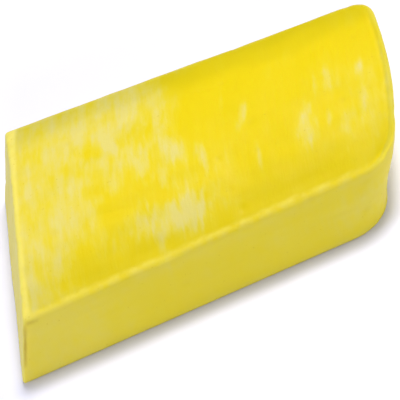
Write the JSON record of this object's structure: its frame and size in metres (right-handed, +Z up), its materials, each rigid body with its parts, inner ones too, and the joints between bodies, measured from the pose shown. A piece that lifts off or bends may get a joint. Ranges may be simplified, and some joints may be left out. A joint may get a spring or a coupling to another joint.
{
  "type": "detailing clay bar",
  "caption": "Solid block of yellow detailing clay with a low domed top, a flat underside, one straight oblique cut end and one rounded end.",
  "frame": {"origin": "middle of the footprint's bounding rectangle, on the surface the bar rests on", "axes": "+X along the front wall towards the rounded end, +Y from the front wall to the back wall, +Z up"},
  "size_m": [0.0948, 0.047, 0.0226],
  "materials": {
    "clay": "satin, slightly waxy polymer clay, mottled from milky pale yellow to saturated yellow"
  },
  "bodies": {
    "root": {"clay_bar": "clay"}
  },
  "joints": []
}
